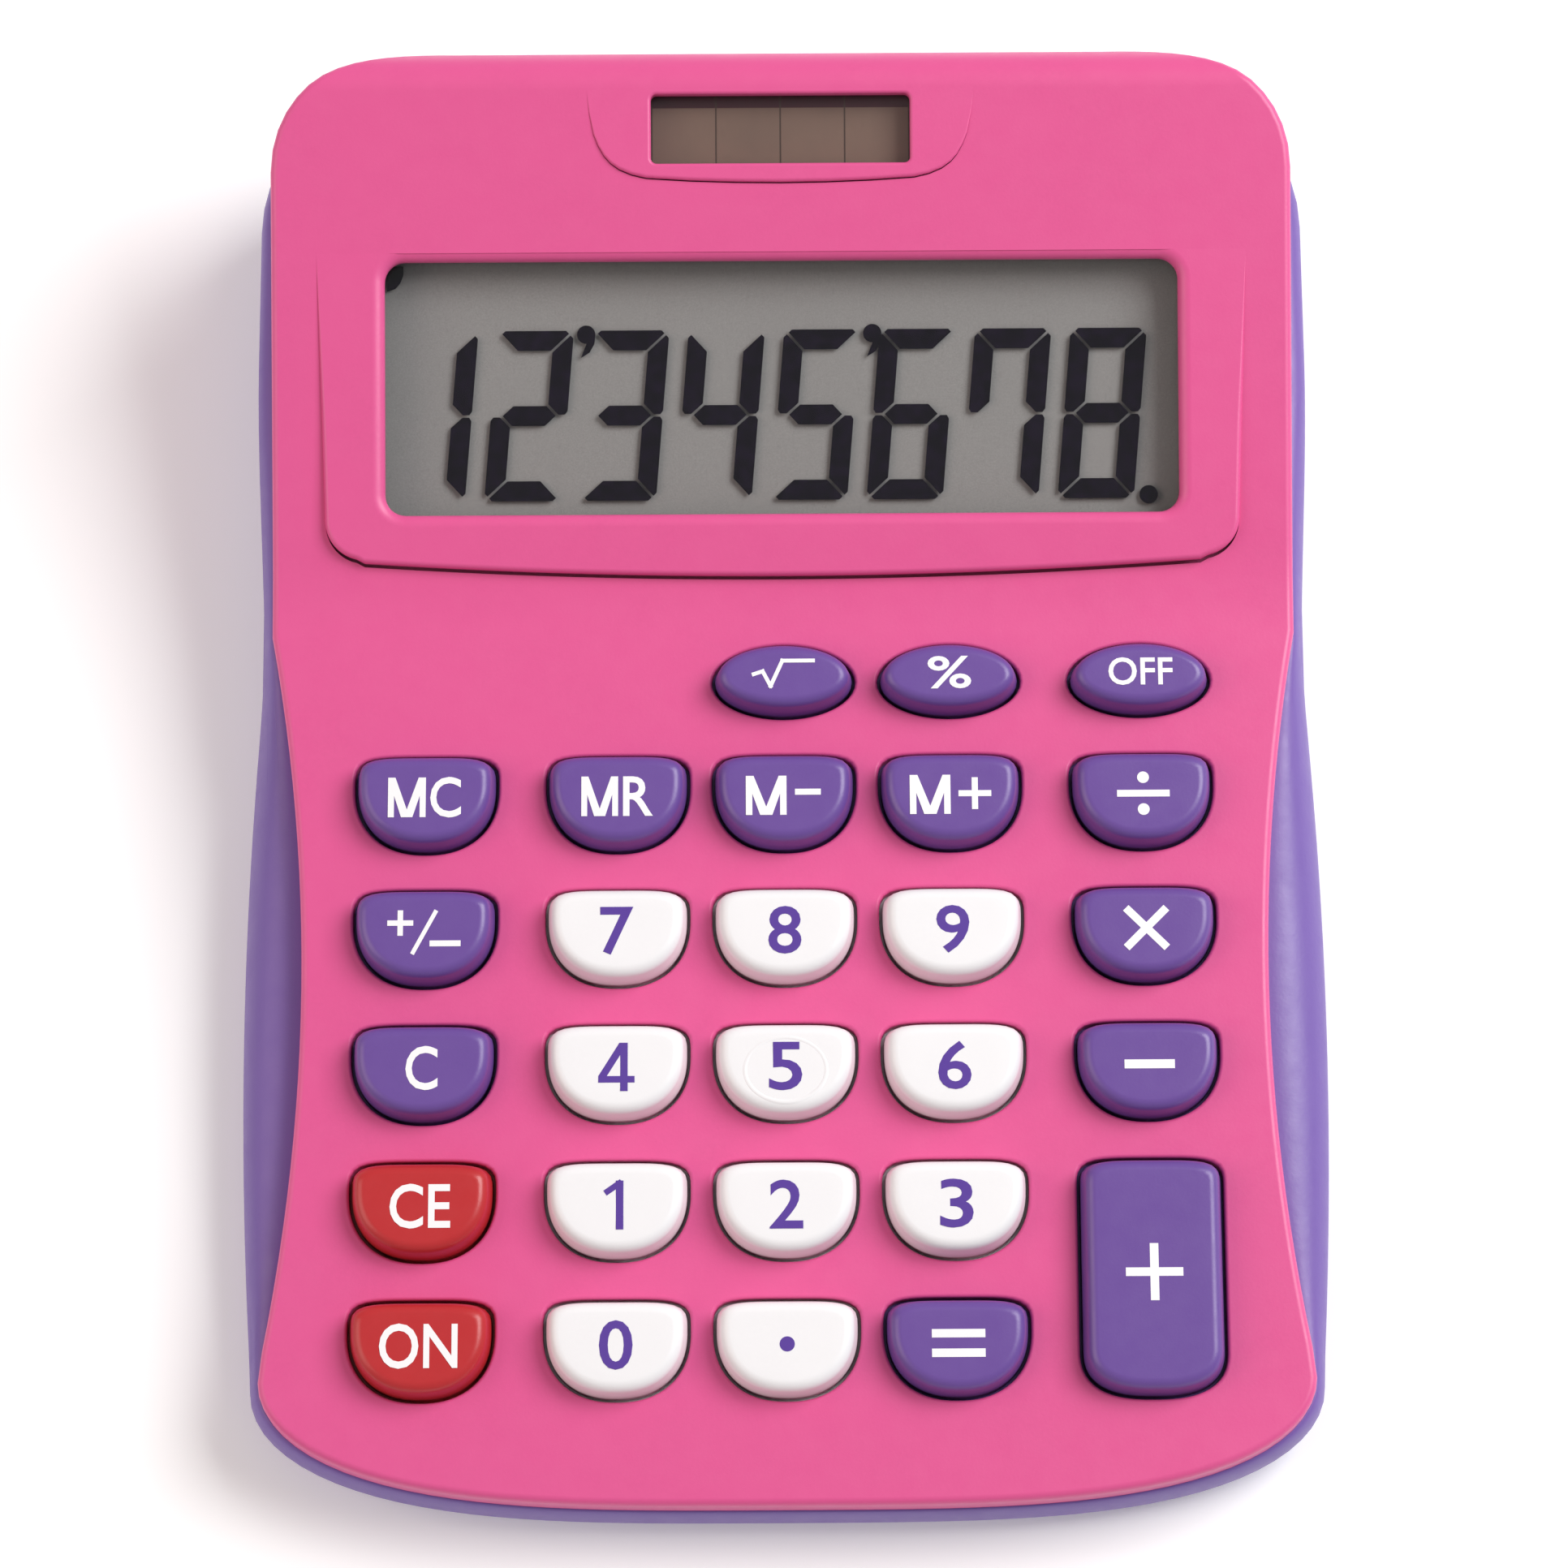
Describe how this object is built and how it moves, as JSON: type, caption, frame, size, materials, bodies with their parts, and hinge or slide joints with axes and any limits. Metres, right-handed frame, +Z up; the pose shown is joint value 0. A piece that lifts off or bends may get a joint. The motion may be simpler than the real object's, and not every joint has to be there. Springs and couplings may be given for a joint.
{
  "type": "desk calculator",
  "caption": "Two-tone desk calculator with sloped LCD, solar cell, finger grips, push keys on a rubber keypad and a hinged battery door.",
  "frame": {"origin": "under the middle of the case, on the surface that the rubber feet stand on", "axes": "+X to the user's right, +Y from the keypad towards the display and the rear edge, +Z up"},
  "size_m": [0.11, 0.15, 0.0327],
  "materials": {
    "case_pink": "fine spark-eroded satin",
    "case_purple": "fine spark-eroded satin",
    "key_purple": "satin",
    "key_white": "satin",
    "key_red": "satin",
    "clear_window": "polished acrylic",
    "display_glass": "polished, grey polariser",
    "reflector": "fine grey foil",
    "frame_white": "moulded",
    "ribbon": "heat-seal film",
    "solar_glass": "amorphous silicon on glass",
    "board": "solder mask",
    "epoxy": "potting resin",
    "components": "moulded chips",
    "capacitor": "sleeved can",
    "silicone": "moulded silicone",
    "carbon": "conductive rubber",
    "cell_steel": "nickel-plated steel",
    "contact_steel": "plated spring steel",
    "lead_red": "PVC insulation",
    "lead_black": "PVC insulation",
    "screw_steel": "zinc plated",
    "foot_rubber": "moulded rubber"
  },
  "bodies": {
    "case": {"top_shell": "case_pink", "bottom_shell": "case_purple", "display_window": "clear_window", "display_glass": "display_glass", "display_reflector": "reflector", "display_frame": "frame_white", "display_ribbon": "ribbon", "solar_window": "clear_window", "solar_cell": "solar_glass", "circuit_board": "board", "chip_cover": "epoxy", "board_components": "components", "buffer_capacitor": "capacitor", "rubber_keypad": "silicone", "key_contacts": "carbon", "button_cell": "cell_steel", "battery_contact_plus": "contact_steel", "battery_contact_minus": "contact_steel", "solar_lead_left": "lead_black", "solar_lead_right": "lead_red", "battery_lead_left": "lead_red", "battery_lead_right": "lead_black", "case_screws": "screw_steel", "board_screws": "screw_steel", "frame_screws": "screw_steel", "foot_front_left": "foot_rubber", "foot_front_right": "foot_rubber", "foot_rear_left": "foot_rubber", "foot_rear_right": "foot_rubber"},
    "battery_door": {"battery_door": "case_purple"},
    "key_sqrt": {"key_sqrt": "key_purple"},
    "key_percent": {"key_percent": "key_purple"},
    "key_off": {"key_off": "key_purple"},
    "key_mc": {"key_mc": "key_purple"},
    "key_mr": {"key_mr": "key_purple"},
    "key_m_minus": {"key_m_minus": "key_purple"},
    "key_m_plus": {"key_m_plus": "key_purple"},
    "key_divide": {"key_divide": "key_purple"},
    "key_sign": {"key_sign": "key_purple"},
    "key_7": {"key_7": "key_white"},
    "key_8": {"key_8": "key_white"},
    "key_9": {"key_9": "key_white"},
    "key_multiply": {"key_multiply": "key_purple"},
    "key_c": {"key_c": "key_purple"},
    "key_4": {"key_4": "key_white"},
    "key_5": {"key_5": "key_white"},
    "key_6": {"key_6": "key_white"},
    "key_minus": {"key_minus": "key_purple"},
    "key_ce": {"key_ce": "key_red"},
    "key_1": {"key_1": "key_white"},
    "key_2": {"key_2": "key_white"},
    "key_3": {"key_3": "key_white"},
    "key_plus": {"key_plus": "key_purple"},
    "key_on": {"key_on": "key_red"},
    "key_0": {"key_0": "key_white"},
    "key_point": {"key_point": "key_white"},
    "key_equals": {"key_equals": "key_purple"}
  },
  "joints": [
    {"name": "press_sqrt", "type": "slide", "parent": "case", "child": "key_sqrt", "axis": [0, 0.0698, -0.9976], "range_m": [0, 0.0012], "stiffness_N_per_m": 300, "deforming": ["rubber_keypad", "key_contacts"]},
    {"name": "press_percent", "type": "slide", "parent": "case", "child": "key_percent", "axis": [0, 0.0698, -0.9976], "range_m": [0, 0.0012], "stiffness_N_per_m": 300, "deforming": ["rubber_keypad", "key_contacts"]},
    {"name": "press_off", "type": "slide", "parent": "case", "child": "key_off", "axis": [0, 0.0698, -0.9976], "range_m": [0, 0.0012], "stiffness_N_per_m": 300, "deforming": ["rubber_keypad", "key_contacts"]},
    {"name": "press_mc", "type": "slide", "parent": "case", "child": "key_mc", "axis": [0, 0.0698, -0.9976], "range_m": [0, 0.0012], "stiffness_N_per_m": 300, "deforming": ["rubber_keypad", "key_contacts"]},
    {"name": "press_mr", "type": "slide", "parent": "case", "child": "key_mr", "axis": [0, 0.0698, -0.9976], "range_m": [0, 0.0012], "stiffness_N_per_m": 300, "deforming": ["rubber_keypad", "key_contacts"]},
    {"name": "press_m_minus", "type": "slide", "parent": "case", "child": "key_m_minus", "axis": [0, 0.0698, -0.9976], "range_m": [0, 0.0012], "stiffness_N_per_m": 300, "deforming": ["rubber_keypad", "key_contacts"]},
    {"name": "press_m_plus", "type": "slide", "parent": "case", "child": "key_m_plus", "axis": [0, 0.0698, -0.9976], "range_m": [0, 0.0012], "stiffness_N_per_m": 300, "deforming": ["rubber_keypad", "key_contacts"]},
    {"name": "press_divide", "type": "slide", "parent": "case", "child": "key_divide", "axis": [0, 0.0698, -0.9976], "range_m": [0, 0.0012], "stiffness_N_per_m": 300, "deforming": ["rubber_keypad", "key_contacts"]},
    {"name": "press_sign", "type": "slide", "parent": "case", "child": "key_sign", "axis": [0, 0.0698, -0.9976], "range_m": [0, 0.0012], "stiffness_N_per_m": 300, "deforming": ["rubber_keypad", "key_contacts"]},
    {"name": "press_7", "type": "slide", "parent": "case", "child": "key_7", "axis": [0, 0.0698, -0.9976], "range_m": [0, 0.0012], "stiffness_N_per_m": 300, "deforming": ["rubber_keypad", "key_contacts"]},
    {"name": "press_8", "type": "slide", "parent": "case", "child": "key_8", "axis": [0, 0.0698, -0.9976], "range_m": [0, 0.0012], "stiffness_N_per_m": 300, "deforming": ["rubber_keypad", "key_contacts"]},
    {"name": "press_9", "type": "slide", "parent": "case", "child": "key_9", "axis": [0, 0.0698, -0.9976], "range_m": [0, 0.0012], "stiffness_N_per_m": 300, "deforming": ["rubber_keypad", "key_contacts"]},
    {"name": "press_multiply", "type": "slide", "parent": "case", "child": "key_multiply", "axis": [0, 0.0698, -0.9976], "range_m": [0, 0.0012], "stiffness_N_per_m": 300, "deforming": ["rubber_keypad", "key_contacts"]},
    {"name": "press_c", "type": "slide", "parent": "case", "child": "key_c", "axis": [0, 0.0698, -0.9976], "range_m": [0, 0.0012], "stiffness_N_per_m": 300, "deforming": ["rubber_keypad", "key_contacts"]},
    {"name": "press_4", "type": "slide", "parent": "case", "child": "key_4", "axis": [0, 0.0698, -0.9976], "range_m": [0, 0.0012], "stiffness_N_per_m": 300, "deforming": ["rubber_keypad", "key_contacts"]},
    {"name": "press_5", "type": "slide", "parent": "case", "child": "key_5", "axis": [0, 0.0698, -0.9976], "range_m": [0, 0.0012], "stiffness_N_per_m": 300, "deforming": ["rubber_keypad", "key_contacts"]},
    {"name": "press_6", "type": "slide", "parent": "case", "child": "key_6", "axis": [0, 0.0698, -0.9976], "range_m": [0, 0.0012], "stiffness_N_per_m": 300, "deforming": ["rubber_keypad", "key_contacts"]},
    {"name": "press_minus", "type": "slide", "parent": "case", "child": "key_minus", "axis": [0, 0.0698, -0.9976], "range_m": [0, 0.0012], "stiffness_N_per_m": 300, "deforming": ["rubber_keypad", "key_contacts"]},
    {"name": "press_ce", "type": "slide", "parent": "case", "child": "key_ce", "axis": [0, 0.0698, -0.9976], "range_m": [0, 0.0012], "stiffness_N_per_m": 300, "deforming": ["rubber_keypad", "key_contacts"]},
    {"name": "press_1", "type": "slide", "parent": "case", "child": "key_1", "axis": [0, 0.0698, -0.9976], "range_m": [0, 0.0012], "stiffness_N_per_m": 300, "deforming": ["rubber_keypad", "key_contacts"]},
    {"name": "press_2", "type": "slide", "parent": "case", "child": "key_2", "axis": [0, 0.0698, -0.9976], "range_m": [0, 0.0012], "stiffness_N_per_m": 300, "deforming": ["rubber_keypad", "key_contacts"]},
    {"name": "press_3", "type": "slide", "parent": "case", "child": "key_3", "axis": [0, 0.0698, -0.9976], "range_m": [0, 0.0012], "stiffness_N_per_m": 300, "deforming": ["rubber_keypad", "key_contacts"]},
    {"name": "press_plus", "type": "slide", "parent": "case", "child": "key_plus", "axis": [0, 0.0698, -0.9976], "range_m": [0, 0.0012], "stiffness_N_per_m": 400, "deforming": ["rubber_keypad", "key_contacts"]},
    {"name": "press_on", "type": "slide", "parent": "case", "child": "key_on", "axis": [0, 0.0698, -0.9976], "range_m": [0, 0.0012], "stiffness_N_per_m": 300, "deforming": ["rubber_keypad", "key_contacts"]},
    {"name": "press_0", "type": "slide", "parent": "case", "child": "key_0", "axis": [0, 0.0698, -0.9976], "range_m": [0, 0.0012], "stiffness_N_per_m": 300, "deforming": ["rubber_keypad", "key_contacts"]},
    {"name": "press_point", "type": "slide", "parent": "case", "child": "key_point", "axis": [0, 0.0698, -0.9976], "range_m": [0, 0.0012], "stiffness_N_per_m": 300, "deforming": ["rubber_keypad", "key_contacts"]},
    {"name": "press_equals", "type": "slide", "parent": "case", "child": "key_equals", "axis": [0, 0.0698, -0.9976], "range_m": [0, 0.0012], "stiffness_N_per_m": 300, "deforming": ["rubber_keypad", "key_contacts"]},
    {"name": "door_hinge", "type": "hinge", "parent": "case", "child": "battery_door", "pos_m": [0, 0.0571, 0.0019], "axis": [1, 0, 0], "range_deg": [0, 95]}
  ]
}
